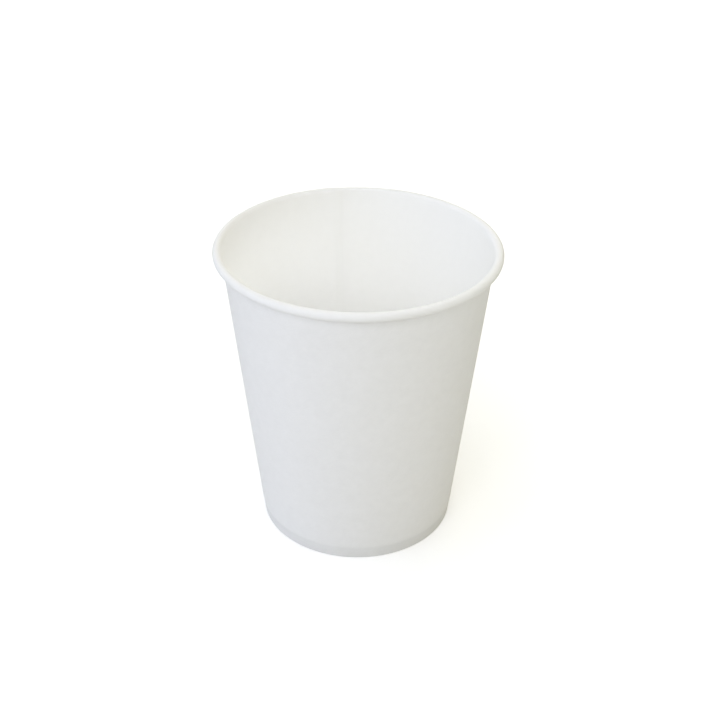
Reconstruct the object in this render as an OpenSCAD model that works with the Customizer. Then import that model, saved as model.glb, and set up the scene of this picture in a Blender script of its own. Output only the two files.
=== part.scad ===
// Paper cup: a cone of board with a rolled rim and a lapped side seam. Its foot is folded in and up
// round the skirt of a flat bottom disc, which leaves a shallow recess under the cup.
// The origin is the centre of the plane that the foot stands on, +Z is up and the seam is at the back.

/* [Cup] */
// Height from the table to the top of the rim
cup_h = 80; // [60:1:120]
// Outside diameter across the rolled rim
rim_d = 73; // [68:0.5:90]
// Outside diameter across the foot
foot_d = 51.8; // [46:0.2:58]

/* [Board] */
// Thickness of the wall's board
wall_t = 0.3; // [0.25:0.01:0.35]
// Thickness of the bottom's board
disc_t = 0.28; // [0.24:0.01:0.35]
// Thickness of the sealant between two boards
seal_t = 0.02; // [0.01:0.01:0.04]

/* [Rolled rim] */
// Width of the roll, from the inside of the wall to the outer edge of the rim
roll_w = 2.4; // [2.2:0.1:3]
// Open slit between two turns of the roll
roll_gap = 0.1; // [0.06:0.02:0.14]
// How far the board's end runs on inside the roll, in degrees past its first full turn
roll_tuck = 100; // [45:5:150]

/* [Side seam] */
// Direction of the seam's inner edge, in degrees from +X towards +Y
seam_at = 98; // [60:1:120]
// Width of the lap, in degrees round the cup
lap_deg = 9; // [6:0.5:14]

/* [Foot] */
// Height of the band that is pressed in round the foot
band_h = 3.3; // [2.5:0.1:3.6]
// How far the band is pressed in
band_in = 0.1; // [0.05:0.01:0.2]
// Height of the slope from the band out to the wall above it
band_ease = 0.7; // [0.4:0.1:1]
// Height of the hem inside the recess
hem_h = 4.2; // [3:0.1:4.6]
// Depth of the recess under the bottom disc
recess_h = 5.2; // [5:0.1:9]
// Outside radius of the bend between the disc and its skirt
disc_bend = 0.6; // [0.4:0.05:0.8]

/* [Hidden] */
$fn = 96;

// Straight steps in half a turn of the roll, and in a corner of the fold
turn_steps = 14;
corner_steps = 5;

// The roll is three half turns, the first over the top, each about a centre of its own at one height
roll_z = cup_h - roll_w / 2;
edge_x = (rim_d - wall_t) / 2;
turn_r = [for (turn = [0:2]) (roll_w - wall_t - turn * (wall_t + roll_gap)) / 2];
turn_1 = [edge_x - turn_r[0], roll_z];
turn_2 = [edge_x - turn_r[1], roll_z];
turn_3 = [edge_x - 2 * turn_r[1] + turn_r[2], roll_z];

// The wall's outer face starts above the band and runs tangent to the inside of the first half turn
wall_start = foot_d / 2 + band_in;
tangent_r = turn_r[0] - wall_t / 2;
lean = atan2(turn_1.x - wall_start, roll_z) - asin(tangent_r / norm([turn_1.x - wall_start, roll_z]));
tangent_top = turn_1 + tangent_r * [-cos(lean), sin(lean)];
ease_top = band_h + band_ease;
function wall_x(z) = wall_start + z * tan(lean);
function band_x(z) = foot_d / 2 + z * tan(lean);

// Thicknesses measured on the level, across boards that lean
wall_across = wall_t / cos(lean);
disc_across = disc_t / cos(lean);
seal_across = seal_t / cos(lean);
slot_across = disc_across + 2 * seal_across;

// How far one stretch of the board reaches into the next, as shares of its thickness and of the slot
hem_share = 0.4;
fold_share = 0.15;

// Direction in which the rounded foot of the hem's second layer ends
toe_at = 210;

// Inner corners of the fold at the foot: under the wall, and under the hem
wall_corner = [band_x(wall_t) - wall_across, wall_t];
hem_corner = wall_corner - [slot_across, 0];

// Beside the seam the wall moves out by one board over two equal bends, first away and then back.
// Each bend turns by the angle of the 7-24-25 triangle, which keeps its end faces on exact numbers.
ease_dirs = [[0, 1], [-7, 24] / 25, [-336, 527] / 625];
bend_shift = wall_t / (2 * (1 - 24 / 25));
bend_1 = -bend_shift * ease_dirs[0];
bend_2 = bend_shift * ease_dirs[2];
inner_edge_at = atan2(ease_dirs[2].y, ease_dirs[2].x);
lap_end = [cos(inner_edge_at + lap_deg), sin(inner_edge_at + lap_deg)];

// How far a cutting wedge reaches from its edge, past the rim of the widest cup, and past both ends
wedge_reach = 100;
wedge_past = 1;

// Points along a round stretch about a centre
function arc(centre, r, from, to, steps) =
    [for (i = [0:steps]) centre + r * [cos(from + (to - from) * i / steps), sin(from + (to - from) * i / steps)]];

// Inner face of the wall, from the roll down to the fold
function inner_face() = [
    [wall_x(ease_top) - wall_across, ease_top],
    [band_x(band_h) - wall_across, band_h],
    wall_corner
];

// Outer face of the wall, from the fold up to the slope above the band
function outer_face() = concat(
    arc(wall_corner, wall_t, -90, -lean, corner_steps),
    [[band_x(band_h), band_h], [wall_x(ease_top), ease_top]]
);

// Outside of the roll, in quarter turns from its top edge over and back under
function roll_over_in() = arc(turn_1, turn_r[0] + wall_t / 2, 90, 180 - lean, turn_steps / 2);
function roll_over_out() = arc(turn_1, turn_r[0] + wall_t / 2, 0, 90, turn_steps / 2);
function roll_under_out() = arc(turn_2, turn_r[1] + wall_t / 2, -90, 0, turn_steps / 2);
function roll_under_in() = arc(turn_2, turn_r[1] + wall_t / 2, -180, -90, turn_steps / 2);

function moved(points, x) = [for (p = points) p + [x, 0]];

// End of the fold's floor, which runs under the hem: its slope stays inside the hem's round corner
function floor_end(back) = [hem_corner - [back + hem_share * wall_t, 0], [hem_corner.x - back, 0]];

// One layer of the wall, with the open roll at its top and the floor of the fold at its foot
module wall_section(back = 0) {
    polygon(concat(
        floor_end(back),
        outer_face(),
        arc(turn_1, turn_r[0] - wall_t / 2, 180 - lean, 0, turn_steps),
        arc(turn_2, turn_r[1] - wall_t / 2, 0, -180, turn_steps),
        arc(turn_3, turn_r[2] - wall_t / 2, 180, 180 - roll_tuck, turn_steps / 2),
        arc(turn_3, turn_r[2] + wall_t / 2, 180 - roll_tuck, 180, turn_steps / 2),
        roll_under_in(),
        roll_under_out(),
        roll_over_out(),
        roll_over_in(),
        inner_face()
    ));
}

// Second layer of the wall in the seam, from the middle of the first one outwards
module wall_lap_section() {
    polygon(concat(
        [wall_corner - [wall_t, wall_t] / 2, wall_corner - [wall_t / 2, wall_t]],
        moved(outer_face(), wall_t),
        moved([tangent_top], wall_t),
        moved([tangent_top], -wall_t / 2),
        moved(inner_face(), wall_t / 2)
    ));
}

// The roll in the seam, which the doubled board fills
module filled_roll_section() {
    polygon(concat(
        roll_under_in(),
        moved(roll_under_out(), wall_t),
        moved(roll_over_out(), wall_t),
        roll_over_in()
    ));
}

// The hem inside the recess, with its share of the fold's floor
module hem_section() {
    top = hem_corner + (hem_h - wall_t) * [tan(lean), 1];
    floor_x = wall_corner.x - fold_share * slot_across;
    polygon(concat(
        arc(hem_corner, wall_t, 180 - lean, 270, corner_steps),
        [[floor_x, 0], [floor_x, wall_t], hem_corner, top, top - [wall_across, 0]]
    ));
}

// Second layer of the hem in the seam, from the middle of the first one inwards
module hem_lap_section() {
    top = hem_corner + (hem_h - wall_t) * [tan(lean), 1];
    polygon(concat(
        arc(hem_corner, 2 * wall_t, 180 - lean, toe_at, corner_steps),
        [hem_corner - [wall_t / 2, wall_t], hem_corner - [wall_t / 2, 0]],
        [top - [wall_across / 2, 0], top - [2 * wall_across, 0]]
    ));
}

// Upright wedge between two directions from an upright edge
module wedge(edge, from, to) {
    translate([0, 0, -wedge_past])
        linear_extrude(cup_h + 2 * wedge_past)
            polygon([edge, edge + wedge_reach * from, edge + wedge_reach * (from + to), edge + wedge_reach * to]);
}

// The wall all round, apart from its two bends
module plain_wall() {
    difference() {
        rotate_extrude() wall_section();
        wedge([0, 0], ease_dirs[0], ease_dirs[2]);
    }
}

// A stretch of the wall that bends about an axis beside the cup's own
module bent_wall(axis, moved_x, back, from, to) {
    intersection() {
        translate([axis.x, axis.y, 0])
            rotate_extrude()
                translate([moved_x, 0])
                    wall_section(back);
        wedge(axis, from, to);
    }
}

// The second layer of wall and hem between the blank's two straight edges
module lapped_seam() {
    intersection() {
        union() {
            rotate_extrude() wall_lap_section();
            rotate_extrude() filled_roll_section();
            rotate_extrude() hem_lap_section();
        }
        wedge([0, 0], ease_dirs[2], lap_end);
    }
}

module sidewall() {
    color("#F2F2EE")
        rotate([0, 0, seam_at - inner_edge_at])
            union() {
                plain_wall();
                bent_wall(bend_1, bend_shift, 0, ease_dirs[0], ease_dirs[1]);
                bent_wall(bend_2, wall_t - bend_shift, wall_t / 2, ease_dirs[1], ease_dirs[2]);
                lapped_seam();
                rotate_extrude() hem_section();
            }
}

// The disc and its skirt, whose outer face follows the inside of the wall
module bottom() {
    skirt_back = wall_across + seal_across;
    disc_top = recess_h + disc_t;
    bend_z = disc_top - disc_bend;
    bend_centre = [wall_x(bend_z) - skirt_back - disc_bend / cos(lean), bend_z];
    skirt_face = [
        [band_x(wall_t + seal_t) - skirt_back, wall_t + seal_t],
        [band_x(band_h) - skirt_back, band_h],
        [wall_x(ease_top) - skirt_back, ease_top]
    ];
    color("#EFEFEB")
        rotate_extrude()
            polygon(concat(
                [[0, recess_h]],
                arc(bend_centre, disc_bend - disc_t, 90, -lean, corner_steps),
                [for (i = [2:-1:0]) skirt_face[i] - [disc_across, 0]],
                skirt_face,
                arc(bend_centre, disc_bend, -lean, 90, corner_steps),
                [[0, disc_top]]
            ));
}

sidewall();
bottom();
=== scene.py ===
import bpy
import numpy as np
from mathutils import Matrix, Vector


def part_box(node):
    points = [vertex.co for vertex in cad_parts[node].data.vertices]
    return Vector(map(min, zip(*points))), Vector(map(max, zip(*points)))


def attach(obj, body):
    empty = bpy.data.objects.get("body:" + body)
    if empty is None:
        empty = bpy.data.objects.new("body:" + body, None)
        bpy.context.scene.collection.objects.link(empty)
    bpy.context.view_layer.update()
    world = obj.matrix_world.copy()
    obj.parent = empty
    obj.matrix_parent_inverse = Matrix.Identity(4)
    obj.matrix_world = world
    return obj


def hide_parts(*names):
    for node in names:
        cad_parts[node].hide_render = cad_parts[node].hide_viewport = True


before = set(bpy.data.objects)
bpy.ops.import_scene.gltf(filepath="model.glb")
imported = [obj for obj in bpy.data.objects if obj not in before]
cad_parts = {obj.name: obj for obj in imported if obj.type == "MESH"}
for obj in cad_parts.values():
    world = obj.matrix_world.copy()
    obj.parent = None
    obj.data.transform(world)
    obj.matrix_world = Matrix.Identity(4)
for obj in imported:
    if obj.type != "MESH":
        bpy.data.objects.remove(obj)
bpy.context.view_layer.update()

MM = 0.001
DEG = np.pi / 180

# The cup's height and rim come from the frame. Its other sizes are those of the part where that has them,
# but for the slope above the pressed band, which is softer. The rim stays inside the frame's box by
# INSIDE_BOX.
cup_low, cup_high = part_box("sidewall")
INSIDE_BOX = 0.01 * MM
CUP_H = cup_high[2]
RIM_R = -cup_low[0] - INSIDE_BOX

# The boards of the wall and the bottom, and the sealant between them
BOARD = 0.3 * MM
DISC_BOARD = 0.28 * MM
SEALANT = 0.02 * MM

# The foot: its radius, the band pressed in round it with the slope above, and the fold's inside radius
FOOT_R = 25.9 * MM
BAND_H = 3.3 * MM
BAND_IN = 0.1 * MM
BAND_EASE = 1.0 * MM
FOLD_IN = 0.04 * MM

# The recess: the heights of its hem and of the disc over it, and the outside radius of the disc's bend
HEM_H = 4.2 * MM
RECESS_H = 5.2 * MM
DISC_BEND = 0.6 * MM

# The rolled rim: its width, the slit between its turns and how far its end runs past its first full turn
ROLL_W = 2.4 * MM
ROLL_SLIT = 0.1 * MM
ROLL_TUCK = 100 * DEG

# The seam: the blank's inner edge, the width of its lap, and the stretch before the lap through which the
# wall moves out by LAP_RISE, a hundredth of a millimetre more than its board. The roll takes only the
# share ROLL_NEST of that, because its two layers nest.
SEAM_AT = 98 * DEG
LAP = 9 * DEG
EASE = 32.5 * DEG
LAP_RISE = 0.31 * MM
ROLL_NEST = 0.4

# Heights between which the wall and the hem begin to take that rise. The fold's floor takes none of it.
RISE_FROM = BOARD / 2
RISE_FULL = 4 * BOARD

# How much thinner the seal presses the blank's inner edge, and through how wide a strip
SEAM_PRESS = 0.2 * MM
SEAM_STRIP = 4 * DEG

# How far the blank's start is lifted off its end under the foot
FOOT_LIFT = 0.03 * MM

# A cup that has been handled is slightly out of round: this is the share by which its rim departs
OUT_OF_ROUND = 0.0073

# The shallow ring pressed into the disc: its inner and outer radius, its slopes and its depth
RING_IN = 20.3 * MM
RING_OUT = 22.6 * MM
RING_EASE = 0.8 * MM
RING_DEEP = 0.07 * MM

# The disc follows the wall near the seam: not at all inside DISC_STILL and wholly outside DISC_MOVES.
# It falls back through SKIRT_BACK before the lap.
DISC_STILL = FOOT_R - 6 * MM
DISC_MOVES = FOOT_R - 2 * MM
SKIRT_BACK = 1.5 * DEG

# Points along the stretches of the two sections. Those on the wall's low stretch lie closer together,
# because the band's slope is there.
HEM_POINTS = 8
FOLD_POINTS = 9
LOW_POINTS = 16
LOW_STRETCH = 4.4 * MM
WALL_POINTS = 24
TURN_POINTS = 18
TUCK_POINTS = 9
DISC_POINTS = 60
BEND_POINTS = 9
SKIRT_POINTS = 12

# Copies of the two sections round the cup, and the angle from which an edge is sharp
WALL_COLUMNS = 384
DISC_COLUMNS = 360
SHARP_FROM = 35 * DEG

# Places of the three faces of the board in every piece's list of materials
OUTER, FILM, EDGE = 0, 1, 2

# Noise in the board's surface, by metres: clouds in the pulp, fibres stretched along the grain, and tooth
CLOUDS = {"Scale": 420.0, "Detail": 4.0, "Roughness": 0.6}
FIBRES = {"Scale": 900.0, "Detail": 5.0, "Distortion": 1.2}
TOOTH = {"Scale": 6000.0, "Detail": 2.0}
GRAIN = {"Rotation": (0, 0, 0.12), "Scale": (1.0, 5.0, 1.0)}

# How much the clouds change the roughness, how high the tooth stands beside the fibres, and the distance
# that all of the relief's heights are multiplied by
CLOUD_GLOSS = 0.15
TOOTH_HIGH = 0.5
RELIEF = 0.02 * MM

# The knurl on the hem: ridges in a full turn, their height beside the fibres, and the lengths of board
# from the hem's top between which it begins
KNURL_RIDGES = 190.0
KNURL_DEEP = 6.0
KNURL_FROM = 0.3 * MM
KNURL_FULL = 0.7 * MM

# The share of the base colour taken off as painted shade where three boards lie on each other, in place of the
# light from inside the cup that one board lets through and three do not. Two boards in the lap take the second
# number below as their share of that, which comes in within LAP_BLUR on each side of the lap's start.
FOLD_SHADE = 0.07
LAP_PAINTED_SHADE = 0.35
LAP_BLUR = 1 * DEG

# Painted shade in the crease under the roll: the share of the base colour that goes, and the heights between
# which that begins
CREASE_SHADE = 0.03
CREASE_LOW = CUP_H - 3.6 * MM
CREASE_HIGH = CUP_H - 3.0 * MM

# The light: a sky by its colours at the left and the right, a small lamp in the cup by its place, radius
# and watts, and soft boxes by their place, size and watts. Lengths are in metres and watts by colour.
SKY = ((0.64, 0.66, 0.63), (0.32, 0.28, 0.155))
FILL = ((-0.012, 0.0, 0.064), 0.012, (0.006, 0.006, 0.006))
SOFTBOXES = [
    ("overhead", (0.0, 0.05, 0.9), 0.9, (1.47, 1.51, 1.80)),
    ("over the camera", (-0.08, -0.3, 0.3), 0.2, (0.365, 0.375, 0.43)),
    ("behind", (0.1, 0.45, 0.5), 0.4, (0.59, 0.57, 0.47)),
    ("window side", (-0.8, -0.25, 0.35), 0.6, (0.48, 0.59, 1.09)),
    ("near the right", (0.13, -0.06, 0.12), 0.05, (0.016, 0.017, 0.018)),
]

# The floor: half its side, its colour, and the white that the camera sees added, which grows from the one
# strength to the other between two distances from the cup's axis. Lengths are in metres.
FLOOR_HALF = 4.0
FLOOR_COLOR = (0.85, 0.85, 0.84)
GLOW = {"From Min": 0.04, "From Max": 0.2, "To Min": 0.33, "To Max": 0.62}

# The roll is three half turns, each about a centre of its own at one height
ROLL_Z = CUP_H - ROLL_W / 2
TURN_R = [(ROLL_W - BOARD - turn * (BOARD + ROLL_SLIT)) / 2 for turn in range(3)]
EDGE_X = RIM_R - BOARD / 2
TURN_X = [EDGE_X - TURN_R[0], EDGE_X - TURN_R[1], EDGE_X - 2 * TURN_R[1] + TURN_R[2]]

# The wall leans so that its outer face runs tangent to the inside of the roll. That face would meet the
# table at WALL_FOOT if no band were pressed in.
WALL_FOOT = FOOT_R + BAND_IN
LEAN = np.arctan2(TURN_X[0] - WALL_FOOT, ROLL_Z)
LEAN -= np.arcsin((TURN_R[0] - BOARD / 2) / np.hypot(TURN_X[0] - WALL_FOOT, ROLL_Z))

# Directions up along the wall and straight out of it, and the wrap angle at which the lap begins
UP = np.array([np.sin(LEAN), np.cos(LEAN)])
OUT = np.array([np.cos(LEAN), -np.sin(LEAN)])
LAP_FROM = SEAM_AT + 2 * np.pi


def smooth(value, low, high):
    """Goes from 0 at low to 1 at high along 3t^2 - 2t^3, which is level at both ends."""
    t = np.clip((value - low) / (high - low), 0, 1)
    return t * t * (3 - 2 * t)


def in_band(height):
    """Goes from 1 in the pressed band to 0 above its slope, which begins a little below BAND_H."""
    return 1 - smooth(height, BAND_H - BAND_EASE / 4, BAND_H + BAND_EASE)


def lap_rise(angle):
    """How far the wall stands off its own start: LAP_RISE times a smooth step through EASE up to the lap."""
    return LAP_RISE * smooth(angle, LAP_FROM - EASE, LAP_FROM)


def arc(centre, radius, start, end, count):
    """Points on a circle: centre plus radius times the cosine and sine of evenly spaced angles."""
    angle = np.linspace(start, end, count)
    return np.stack([centre[0] + radius * np.cos(angle), centre[1] + radius * np.sin(angle)], 1)


def straight(start, end, count):
    """Evenly spaced points strictly between two ends."""
    share = (np.arange(count) + 1)[:, None] / (count + 1)
    return (1 - share) * np.asarray(start) + share * np.asarray(end)


def face_normals(points):
    """Unit normals to the right of a path, across the direction from each point's last to its next."""
    along = np.gradient(points, axis=0)
    along /= np.linalg.norm(along, axis=1)[:, None]
    return np.stack([along[:, 1], -along[:, 0]], 1)


def path_lengths(points):
    """Distance along a path from its first point."""
    steps = np.linalg.norm(np.diff(points, axis=0), axis=1)
    return np.concatenate([[0], np.cumsum(steps)])


def both_faces(values):
    """Carries a path's values to the ring round its board: out along one face and back along the other."""
    return np.concatenate([values, values[::-1]])


def board_ring(path, board):
    """Ring round a board: its middle line less half its thickness along the normal, and back with it added."""
    normal = face_normals(path)
    return np.concatenate([path - normal * board / 2, (path + normal * board / 2)[::-1]])


def about_axis(radius, height, angle):
    """Grid of points (r cos a, r sin a, z), with one direction a for each row."""
    x = radius * np.cos(angle)[:, None]
    y = radius * np.sin(angle)[:, None]
    return np.stack([x, y, np.broadcast_to(height, radius.shape)], 2)


def board_path():
    """Middle line of the wall's board in the plane of x and z, from the top of the hem to the rolled end.

    It goes down the hem, round both corners of the fold, up the wall with the band pressed in by
    BAND_IN below a soft slope, and over the roll in three half turns.
    """
    fold_r = FOLD_IN + BOARD / 2
    corner_z = FOLD_IN + BOARD
    slot = (DISC_BOARD + 2 * SEALANT) / np.cos(LEAN)
    wall_corner = np.array([WALL_FOOT + corner_z * (np.tan(LEAN) - 1 / np.cos(LEAN)), corner_z])
    hem_corner = wall_corner - [slot - 2 * FOLD_IN, 0]
    hem_foot = hem_corner - fold_r * OUT
    hem_top = hem_foot + UP * (HEM_H - hem_foot[1]) / UP[1]
    wall_low = wall_corner + fold_r * OUT
    low_end = wall_low + UP * LOW_STRETCH
    turns = [np.array([x, ROLL_Z]) for x in TURN_X]
    wall_top = turns[0] - TURN_R[0] * OUT
    parts = [
        [hem_top],
        straight(hem_top, hem_foot, HEM_POINTS),
        arc(hem_corner, fold_r, np.pi - LEAN, 1.5 * np.pi, FOLD_POINTS),
        arc(wall_corner, fold_r, -np.pi / 2, -LEAN, FOLD_POINTS),
        straight(wall_low, low_end, LOW_POINTS),
        straight(low_end, wall_top, WALL_POINTS),
        arc(turns[0], TURN_R[0], np.pi - LEAN, 0, TURN_POINTS)[:-1],
        arc(turns[1], TURN_R[1], 0, -np.pi, TURN_POINTS)[:-1],
        arc(turns[2], TURN_R[2], np.pi, np.pi - ROLL_TUCK, TUCK_POINTS),
    ]
    points = np.concatenate(parts)
    on_wall = (points[:, 0] > wall_corner[0]) & (points[:, 1] < CUP_H / 2)
    pressed = BAND_IN * in_band(points[:, 1])
    points[:, 0] -= np.where(on_wall | (points[:, 1] < corner_z), pressed, 0)
    on_hem = (points[:, 0] <= wall_corner[0]) & (points[:, 1] >= corner_z)
    points[:, 0] -= np.where(on_hem, BAND_IN, 0)
    return points


def disc_path():
    """Middle line of the bottom's board in the plane of x and z, from its centre to the skirt's edge.

    The disc is level but for a shallow ring pressed into it, bends down by DISC_BEND and follows the
    inner face of the wall to just above the fold.
    """
    bend_r = DISC_BEND - DISC_BOARD / 2
    bend_z = RECESS_H + DISC_BOARD / 2 - bend_r
    wall_gap = (BOARD + SEALANT + DISC_BEND) / np.cos(LEAN)
    bend = np.array([WALL_FOOT + bend_z * np.tan(LEAN) - wall_gap, bend_z])
    skirt_top = bend + bend_r * OUT
    skirt_end = skirt_top - UP * (skirt_top[1] - BOARD - 2 * SEALANT - FOLD_IN) / UP[1]
    middle = np.array([0, RECESS_H + DISC_BOARD / 2])
    rim = np.array([bend[0], RECESS_H + DISC_BOARD / 2])
    parts = [
        [middle],
        straight(middle, rim, DISC_POINTS),
        arc(bend, bend_r, np.pi / 2, -LEAN, BEND_POINTS),
        straight(skirt_top, skirt_end, SKIRT_POINTS),
        [skirt_end],
    ]
    points = np.concatenate(parts)
    points[:, 0] -= np.where(points[:, 0] > bend[0], BAND_IN * in_band(points[:, 1]), 0)
    past_inner = smooth(points[:, 0], RING_IN, RING_IN + RING_EASE)
    before_outer = 1 - smooth(points[:, 0], RING_OUT, RING_OUT + RING_EASE)
    points[:, 1] -= RING_DEEP * past_inner * before_outer
    return points


def outward(mesh):
    """Turns every face of a closed mesh if their signed volume says that they point inwards."""
    mesh.calc_loop_triangles()
    corners = np.empty(len(mesh.loop_triangles) * 3, dtype=np.int32)
    mesh.loop_triangles.foreach_get("vertices", corners)
    places = np.empty(len(mesh.vertices) * 3)
    mesh.vertices.foreach_get("co", places)
    a, b, c = np.moveaxis(places.reshape(-1, 3)[corners.reshape(-1, 3)], 1, 0)
    if np.einsum("ij,ij->", a, np.cross(b, c)) < 0:
        mesh.flip_normals()


def new_object(name, data):
    """Makes an object of a mesh, a lamp or a camera and puts it into the scene."""
    made = bpy.data.objects.new(name, data)
    bpy.context.scene.collection.objects.link(made)
    return made


def make_piece(name, places, faces, material_of, materials):
    """Makes a mesh object from arrays, smooth but for its sharp edges, with its faces outwards."""
    mesh = bpy.data.meshes.new(name)
    mesh.from_pydata(places.tolist(), [], faces)
    for material in materials:
        mesh.materials.append(material)
    mesh.polygons.foreach_set("material_index", np.asarray(material_of, dtype=np.int32))
    mesh.polygons.foreach_set("use_smooth", np.ones(len(faces), dtype=bool))
    outward(mesh)
    mesh.set_sharp_from_angle(angle=SHARP_FROM)
    mesh.update()
    return new_object(name, mesh)


def vertex_values(mesh, name, values):
    """Keeps one number for each vertex under a name that materials can read."""
    kept = mesh.attributes.new(name, "FLOAT", "POINT")
    kept.data.foreach_set("value", np.asarray(values, dtype=np.float32))


def flat_map(mesh, flat):
    """Stores each vertex's place on the flat board, in metres, as the mesh's UV map."""
    corners = np.empty(len(mesh.loops), dtype=np.int32)
    mesh.loops.foreach_get("vertex_index", corners)
    layer = mesh.uv_layers.new(name="flat board")
    layer.data.foreach_set("uv", flat[corners].astype(np.float32).ravel())


def wall_places(path, angle):
    """Grid of the wall's points, with a row for each direction and a column for each point of the ring.

    A point is (x cos a, x sin a, z), where (x, z) is the section's middle line plus or minus half the
    board along its normal. Through EASE before the lap the section moves along that normal by
    LAP_RISE times a smooth step, so that the blank's end lies on its start. The roll takes ROLL_NEST
    of that, and the fold's floor takes none. There the blank's start is lifted by FOOT_LIFT instead,
    and comes down through EASE after the lap. The inner face of the start moves out by SEAM_PRESS,
    which makes the board thinner and eases off through SEAM_STRIP. The radius is multiplied by one
    minus OUT_OF_ROUND times the sine of twice the angle, in proportion to the height above the disc.
    """
    on_roll = smooth(path[:, 1], ROLL_Z, CUP_H - BOARD / 2)
    past_top = np.arange(len(path)) > np.argmax(path[:, 1])
    off_floor = smooth(path[:, 1], RISE_FROM, RISE_FULL)
    share = np.where(past_top, ROLL_NEST, off_floor * (1 - (1 - ROLL_NEST) * on_roll))
    lift = FOOT_LIFT * (1 - smooth(angle - SEAM_AT, LAP, LAP + EASE))
    pressed = SEAM_PRESS * (1 - smooth(angle - SEAM_AT, 0, SEAM_STRIP))
    moved = lap_rise(angle)[:, None] * both_faces(share) - lift[:, None] * (1 - both_faces(off_floor))
    moved[:, : len(path)] += pressed[:, None] * share
    section = board_ring(path, BOARD) + moved[:, :, None] * both_faces(face_normals(path))
    height = np.maximum(section[:, :, 1], 0)
    up_wall = np.clip((height - RECESS_H) / (CUP_H - RECESS_H), 0, 1)
    radius = section[:, :, 0] * (1 - OUT_OF_ROUND * up_wall * np.sin(2 * angle)[:, None])
    return about_axis(radius, height, angle)


def wall_faces(columns, count):
    """Faces of the wall's grid, closed at both straight edges, and the material of each of them.

    The ring has count points on the filmed face and as many on the outer one. Its two short sides and
    the caps at the straight edges are the board's cut edge.
    """
    around = 2 * count
    index = np.arange(columns * around).reshape(columns, around)
    following = np.roll(index, -1, axis=1)
    sides = np.stack([index[:-1], following[:-1], following[1:], index[1:]], 2).reshape(-1, 4)
    step = np.arange(count - 1)
    far = around - 1 - step
    start_cap = np.stack([index[0, step + 1], index[0, step], index[0, far], index[0, far - 1]], 1)
    end_cap = np.stack([index[-1, step], index[-1, step + 1], index[-1, far - 1], index[-1, far]], 1)
    strip = [FILM] * (count - 1) + [EDGE] + [OUTER] * (count - 1) + [EDGE]
    material_of = strip * (columns - 1) + [EDGE] * (2 * (count - 1))
    return np.concatenate([sides, start_cap, end_cap]).tolist(), material_of


def make_wall(materials):
    """The one blank of the wall: its section, fold and all, carried round the cup, from raw edge to raw edge.

    Its place on the flat board is that on a fan, (r sin b, r cos b), where r is the length along the
    section plus the distance of the wall's foot from the cone's tip, and b is the wrap angle times the
    sine of the lean.
    """
    path = board_path()
    angle = SEAM_AT + np.linspace(0, 2 * np.pi + LAP, WALL_COLUMNS)
    faces, material_of = wall_faces(len(angle), len(path))
    places = wall_places(path, angle).reshape(-1, 3)
    piece = make_piece("paper_wall", places, faces, material_of, materials)
    length = both_faces(path_lengths(path))
    from_tip = WALL_FOOT / np.sin(LEAN) + length
    turn = angle * np.sin(LEAN)
    flat = np.stack([from_tip * np.sin(turn)[:, None], from_tip * np.cos(turn)[:, None]], 2)
    flat_map(piece.data, flat.reshape(-1, 2))
    on_hem = (length < HEM_H) * smooth(length, KNURL_FROM, KNURL_FULL)
    # Mask of painted shade on the outer face above the hem: full in the pressed band, where three boards lie
    # on each other, and a share over the lap's two boards, in place of the light from inside that comes
    # through one board
    outside = (np.arange(len(length)) >= len(path)) & (length > HEM_H)
    in_fold = in_band(board_ring(path, BOARD)[:, 1])
    in_lap = LAP_PAINTED_SHADE * smooth(angle, LAP_FROM - LAP_BLUR, LAP_FROM + LAP_BLUR)
    folded = outside * np.maximum(in_fold, in_lap[:, None])
    vertex_values(piece.data, "hem", np.tile(on_hem, len(angle)))
    vertex_values(piece.data, "wrap", np.repeat(angle, len(length)))
    vertex_values(piece.data, "folded", folded.ravel())
    return piece


def make_bottom(materials):
    """The bottom disc and its skirt: a section turned about the axis, closed at both poles.

    A point is (x cos a, x sin a, z), where (x, z) is the section's middle line plus or minus half the
    board along its normal. Near the seam the skirt is drawn out with the wall, by the wall's own
    smooth step.
    """
    path = disc_path()
    full_ring = board_ring(path, DISC_BOARD)
    ring = full_ring[1:-1]
    angle = np.linspace(0, 2 * np.pi, DISC_COLUMNS, endpoint=False)
    wrap = LAP_FROM - (SEAM_AT - angle) % (2 * np.pi)
    follows = lap_rise(wrap) * smooth(LAP_FROM - wrap, 0, SKIRT_BACK)
    radius = ring[:, 0] + follows[:, None] * smooth(ring[:, 0], DISC_STILL, DISC_MOVES)
    places = about_axis(radius, ring[:, 1], angle).reshape(-1, 3)
    poles = np.array([[0, 0, full_ring[0, 1]], [0, 0, full_ring[-1, 1]]])
    columns = len(angle)
    index = np.arange(len(places)).reshape(columns, len(ring))
    beside = np.roll(index, -1, axis=0)
    sides = np.stack([index[:, :-1], index[:, 1:], beside[:, 1:], beside[:, :-1]], 2).reshape(-1, 4)
    upper = np.stack([np.full(columns, len(places)), index[:, 0], beside[:, 0]], 1)
    lower = np.stack([np.full(columns, len(places) + 1), beside[:, -1], index[:, -1]], 1)
    strip = [FILM] * (len(path) - 2) + [EDGE] + [OUTER] * (len(path) - 2)
    material_of = strip * columns + [FILM] * columns + [OUTER] * columns
    faces = sides.tolist() + upper.tolist() + lower.tolist()
    all_places = np.concatenate([places, poles])
    piece = make_piece("paper_bottom", all_places, faces, material_of, materials)
    flat_map(piece.data, all_places[:, :2])
    return piece


def add(tree, kind, inputs=None, **settings):
    """Adds a node of a kind, with its settings and the values of its unlinked inputs."""
    made = tree.nodes.new(kind)
    for name, value in settings.items():
        setattr(made, name, value)
    for name, value in (inputs or {}).items():
        made.inputs[name].default_value = value
    return made


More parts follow.
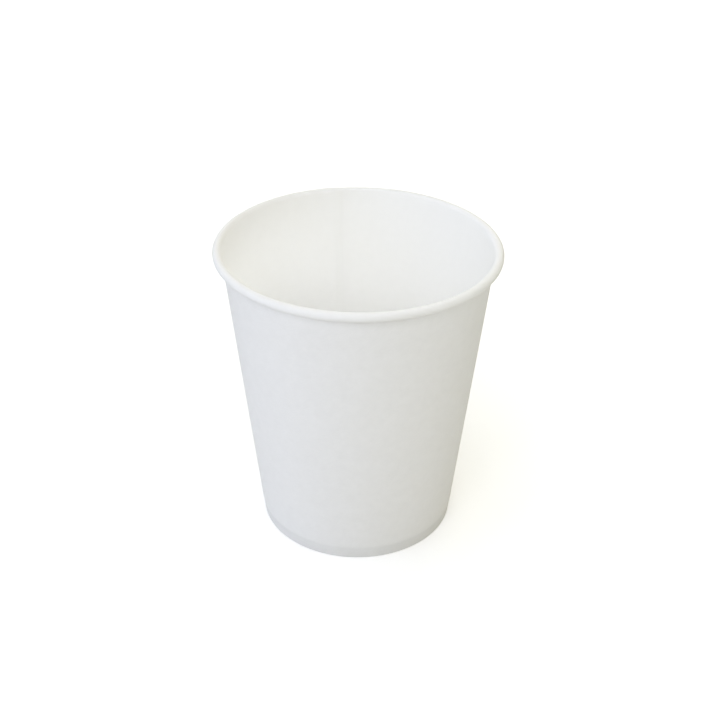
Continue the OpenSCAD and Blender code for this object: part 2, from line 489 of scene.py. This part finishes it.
def math_node(tree, operation, first, second):
    """Adds a Math node and returns its result. Each side is a socket or a number."""
    made = add(tree, "ShaderNodeMath", operation=operation)
    for socket, value in zip(made.inputs, (first, second)):
        if isinstance(value, (int, float)):
            socket.default_value = value
        else:
            tree.links.new(value, socket)
    return made.outputs[0]


def scaled(tree, color, factor):
    """Adds a node that multiplies a colour by a number, and returns its result."""
    made = add(tree, "ShaderNodeVectorMath", operation="SCALE")
    tree.links.new(color, made.inputs[0])
    tree.links.new(factor, made.inputs["Scale"])
    return made.outputs["Vector"]


def board_group():
    """Paperboard's surface: clouds where the pulp is thicker, fibres along the grain and a fine tooth.

    Tone is the base colour times one plus each pattern about its middle, times its amount. Height is the
    sum of fibres and tooth, for a Bump node. Gloss is the roughness with the clouds added.
    """
    group = bpy.data.node_groups.new("paperboard surface", "ShaderNodeTree")
    face = group.interface
    face.new_socket(name="Board Color", in_out="INPUT", socket_type="NodeSocketColor")
    for name in ("Clouds", "Fibres", "Roughness"):
        face.new_socket(name=name, in_out="INPUT", socket_type="NodeSocketFloat")
    face.new_socket(name="Tone", in_out="OUTPUT", socket_type="NodeSocketColor")
    for name in ("Height", "Gloss"):
        face.new_socket(name=name, in_out="OUTPUT", socket_type="NodeSocketFloat")
    given = group.nodes.new("NodeGroupInput")
    result = group.nodes.new("NodeGroupOutput")
    coordinates = group.nodes.new("ShaderNodeTexCoord")
    clouds = add(group, "ShaderNodeTexNoise", CLOUDS)
    group.links.new(coordinates.outputs["Object"], clouds.inputs["Vector"])
    along = add(group, "ShaderNodeMapping", GRAIN)
    group.links.new(coordinates.outputs["UV"], along.inputs["Vector"])
    fibres = add(group, "ShaderNodeTexNoise", FIBRES)
    group.links.new(along.outputs["Vector"], fibres.inputs["Vector"])
    tooth = add(group, "ShaderNodeTexNoise", TOOTH)
    group.links.new(coordinates.outputs["Object"], tooth.inputs["Vector"])
    cloud = math_node(group, "SUBTRACT", clouds.outputs["Fac"], 0.5)
    fibre = math_node(group, "SUBTRACT", fibres.outputs["Fac"], 0.5)
    cloud_tone = math_node(group, "MULTIPLY", cloud, given.outputs["Clouds"])
    fibre_tone = math_node(group, "MULTIPLY", fibre, given.outputs["Fibres"])
    tone = math_node(group, "ADD", math_node(group, "ADD", cloud_tone, fibre_tone), 1.0)
    group.links.new(scaled(group, given.outputs["Board Color"], tone), result.inputs["Tone"])
    tooth_height = math_node(group, "MULTIPLY", tooth.outputs["Fac"], TOOTH_HIGH)
    height = math_node(group, "ADD", fibres.outputs["Fac"], tooth_height)
    group.links.new(height, result.inputs["Height"])
    cloud_gloss = math_node(group, "MULTIPLY", cloud, CLOUD_GLOSS)
    gloss = math_node(group, "ADD", given.outputs["Roughness"], cloud_gloss)
    group.links.new(gloss, result.inputs["Gloss"])
    return group


def board_material(name, group, color, clouds, fibres, roughness, relief, specular):
    """One face of the board: the shared surface pattern under a finish of its own."""
    material = bpy.data.materials.new(name)
    material.use_nodes = True
    tree = material.node_tree
    shader = tree.nodes["Principled BSDF"]
    shader.inputs["Specular IOR Level"].default_value = specular
    surface = add(tree, "ShaderNodeGroup", node_tree=group)
    surface.inputs["Board Color"].default_value = (*color, 1)
    surface.inputs["Clouds"].default_value = clouds
    surface.inputs["Fibres"].default_value = fibres
    surface.inputs["Roughness"].default_value = roughness
    tree.links.new(surface.outputs["Tone"], shader.inputs["Base Color"])
    tree.links.new(surface.outputs["Gloss"], shader.inputs["Roughness"])
    bump = add(tree, "ShaderNodeBump", {"Strength": relief, "Distance": RELIEF})
    tree.links.new(surface.outputs["Height"], bump.inputs["Height"])
    tree.links.new(bump.outputs["Normal"], shader.inputs["Normal"])
    return material


def knurl(material):
    """Adds the upright ridges of the tool that pressed the hem: KNURL_DEEP times the sine of KNURL_RIDGES
    times the wrap angle, where the hem's mask is set."""
    tree = material.node_tree
    bump = tree.nodes["Bump"]
    height = bump.inputs["Height"].links[0].from_socket
    wrap = add(tree, "ShaderNodeAttribute", attribute_name="wrap")
    hem = add(tree, "ShaderNodeAttribute", attribute_name="hem")
    turned = math_node(tree, "MULTIPLY", wrap.outputs["Fac"], KNURL_RIDGES)
    wave = math_node(tree, "SINE", turned, 0.0)
    pressed = math_node(tree, "MULTIPLY", wave, hem.outputs["Fac"])
    total = math_node(tree, "ADD", height, math_node(tree, "MULTIPLY", pressed, KNURL_DEEP))
    tree.links.new(total, bump.inputs["Height"])


def shade_base(material, kept):
    """Paints shade into a material's base colour: multiplies it by the share of it that is kept at each place.
    """
    tree = material.node_tree
    base = tree.nodes["Principled BSDF"].inputs["Base Color"]
    tree.links.new(scaled(tree, base.links[0].from_socket, kept), base)


def paint_fold_shade(material):
    """Paints shade: takes FOLD_SHADE off the base colour where three boards lie on each other and let no light
    through from inside the cup.
    """
    tree = material.node_tree
    folded = add(tree, "ShaderNodeAttribute", attribute_name="folded")
    lost = math_node(tree, "MULTIPLY", folded.outputs["Fac"], FOLD_SHADE)
    shade_base(material, math_node(tree, "SUBTRACT", 1.0, lost))


def paint_crease_shade(material):
    """Paints shade into the crease between the wall and the roll: takes CREASE_SHADE off the base colour
    above CREASE_HIGH, and less and less of it down to CREASE_LOW."""
    tree = material.node_tree
    place = tree.nodes.new("ShaderNodeTexCoord")
    parts = tree.nodes.new("ShaderNodeSeparateXYZ")
    tree.links.new(place.outputs["Object"], parts.inputs[0])
    limits = {"From Min": CREASE_LOW, "From Max": CREASE_HIGH, "To Min": 1.0, "To Max": 1.0 - CREASE_SHADE}
    kept = add(tree, "ShaderNodeMapRange", limits, interpolation_type="SMOOTHSTEP")
    tree.links.new(parts.outputs["Z"], kept.inputs["Value"])
    shade_base(material, kept.outputs["Result"])


def stage_material():
    """A pale matt floor. The camera sees some white added, and more of it away from the cup."""
    material = bpy.data.materials.new("floor white")
    material.use_nodes = True
    tree = material.node_tree
    tree.nodes.remove(tree.nodes["Principled BSDF"])
    matt = add(tree, "ShaderNodeBsdfDiffuse", {"Color": (*FLOOR_COLOR, 1)})
    glow = add(tree, "ShaderNodeEmission", {"Color": (1, 1, 1, 1)})
    path = tree.nodes.new("ShaderNodeLightPath")
    both = tree.nodes.new("ShaderNodeAddShader")
    place = tree.nodes.new("ShaderNodeTexCoord")
    away = add(tree, "ShaderNodeVectorMath", operation="LENGTH")
    tree.links.new(place.outputs["Object"], away.inputs[0])
    white = add(tree, "ShaderNodeMapRange", GLOW)
    tree.links.new(away.outputs["Value"], white.inputs["Value"])
    seen = math_node(tree, "MULTIPLY", white.outputs["Result"], path.outputs["Is Camera Ray"])
    tree.links.new(seen, glow.inputs["Strength"])
    tree.links.new(matt.outputs[0], both.inputs[0])
    tree.links.new(glow.outputs[0], both.inputs[1])
    tree.links.new(both.outputs[0], tree.nodes["Material Output"].inputs["Surface"])
    return material


def make_floor():
    """A square floor at the height that the cup stands on."""
    half = FLOOR_HALF
    mesh = bpy.data.meshes.new("floor")
    corners = [(-half, -half, 0), (half, -half, 0), (half, half, 0), (-half, half, 0)]
    mesh.from_pydata(corners, [], [(0, 1, 2, 3)])
    mesh.materials.append(stage_material())
    return new_object("floor", mesh)


def make_world(window_side, far_side):
    """A sky that goes evenly from one colour at the left to another at the right. Rays from the camera,
    and those that are mirrored or pass through, see plain white instead."""
    world = bpy.data.worlds.new("studio")
    bpy.context.scene.world = world
    world.use_nodes = True
    tree = world.node_tree
    sky = tree.nodes["Background"]
    direction = tree.nodes.new("ShaderNodeTexCoord")
    parts = tree.nodes.new("ShaderNodeSeparateXYZ")
    tree.links.new(direction.outputs["Generated"], parts.inputs[0])
    along = add(tree, "ShaderNodeMapRange", {"From Min": -1.0, "From Max": 1.0})
    tree.links.new(parts.outputs["X"], along.inputs["Value"])
    blend = add(tree, "ShaderNodeMix", data_type="RGBA")
    blend.inputs["A"].default_value = (*window_side, 1)
    blend.inputs["B"].default_value = (*far_side, 1)
    tree.links.new(along.outputs["Result"], blend.inputs["Factor"])
    tree.links.new(blend.outputs["Result"], sky.inputs["Color"])
    white = add(tree, "ShaderNodeBackground", {"Color": (1, 1, 1, 1), "Strength": 1.0})
    path = tree.nodes.new("ShaderNodeLightPath")
    seen = math_node(tree, "MAXIMUM", path.outputs["Is Camera Ray"], path.outputs["Is Glossy Ray"])
    seen = math_node(tree, "MAXIMUM", seen, path.outputs["Is Transmission Ray"])
    choose = tree.nodes.new("ShaderNodeMixShader")
    tree.links.new(seen, choose.inputs["Fac"])
    tree.links.new(sky.outputs[0], choose.inputs[1])
    tree.links.new(white.outputs[0], choose.inputs[2])
    tree.links.new(choose.outputs[0], tree.nodes["World Output"].inputs["Surface"])


def set_watts(lamp, watts):
    """Gives a lamp the watts of its red, green and blue, as a strength and a colour."""
    lamp.energy = max(watts)
    lamp.color = [part / max(watts) for part in watts]


def make_softbox(name, place, size, watts):
    """A square lamp at a place, turned towards the middle of the cup."""
    lamp = bpy.data.lights.new(name, "AREA")
    lamp.shape = "SQUARE"
    lamp.size = size
    set_watts(lamp, watts)
    box = new_object(name, lamp)
    towards_cup = Vector((0, 0, CUP_H / 2)) - Vector(place)
    box.location = place
    box.rotation_mode = "QUATERNION"
    box.rotation_quaternion = towards_cup.to_track_quat("-Z", "Y")
    box.visible_camera = False


def make_fill(place, radius, watts):
    """A small round lamp in the cup. It stands for the light that the white walls pass to and fro between
    them, which the renderer gives up on after a few bounces."""
    lamp = bpy.data.lights.new("fill", "POINT")
    lamp.shadow_soft_size = radius
    set_watts(lamp, watts)
    fill = new_object("fill", lamp)
    fill.location = place
    fill.visible_camera = False


def make_camera():
    """The photograph's view, by the elevation, roll and distance that a fit to the cup's outline gave."""
    elevation = 31.57 * DEG
    roll = 0.366 * DEG
    distance = 322.9 * MM
    target = Vector((0.65 * MM, 0, 45.9 * MM))
    view = Vector((0, np.cos(elevation), -np.sin(elevation)))
    level = Vector((1, 0, 0))
    upright = Vector((0, np.sin(elevation), np.cos(elevation)))
    right = np.cos(roll) * level + np.sin(roll) * upright
    top = np.cos(roll) * upright - np.sin(roll) * level
    camera = bpy.data.cameras.new("camera")
    camera.sensor_width = 36
    camera.lens = 60.97
    camera.clip_start = 0.01
    holder = new_object("camera", camera)
    turned = Matrix((right, top, -view)).transposed().to_4x4()
    holder.matrix_world = Matrix.Translation(target - distance * view) @ turned
    bpy.context.scene.camera = holder


make_camera()
pattern = board_group()
outer_face = board_material(
    "outer face of the board",
    pattern,
    color=(0.91, 0.91, 0.905),
    clouds=0.065,
    fibres=0.08,
    roughness=0.82,
    relief=0.35,
    specular=0.35,
)
film = board_material(
    "film on the inner face",
    pattern,
    color=(0.92, 0.92, 0.905),
    clouds=0.03,
    fibres=0.03,
    roughness=0.5,
    relief=0.12,
    specular=0.35,
)
cut_edge = board_material(
    "cut edge of the board",
    pattern,
    color=(0.84, 0.82, 0.77),
    clouds=0.05,
    fibres=0.06,
    roughness=0.9,
    relief=0.5,
    specular=0.5,
)
knurl(outer_face)
# Painted shade in the outer face's base colour where boards lie on each other
paint_fold_shade(outer_face)
# Painted shade in the outer face's base colour in the crease under the roll
paint_crease_shade(outer_face)
faces_of_board = [outer_face, film, cut_edge]

wall = make_wall(faces_of_board)
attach(wall, "root")
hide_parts("sidewall")

bottom = make_bottom(faces_of_board)
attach(bottom, "root")
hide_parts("bottom")

floor = make_floor()
make_world(*SKY)
make_fill(*FILL)
for name, place, size, watts in SOFTBOXES:
    make_softbox(name, place, size, watts)

bpy.context.scene.view_settings.view_transform = "Standard"
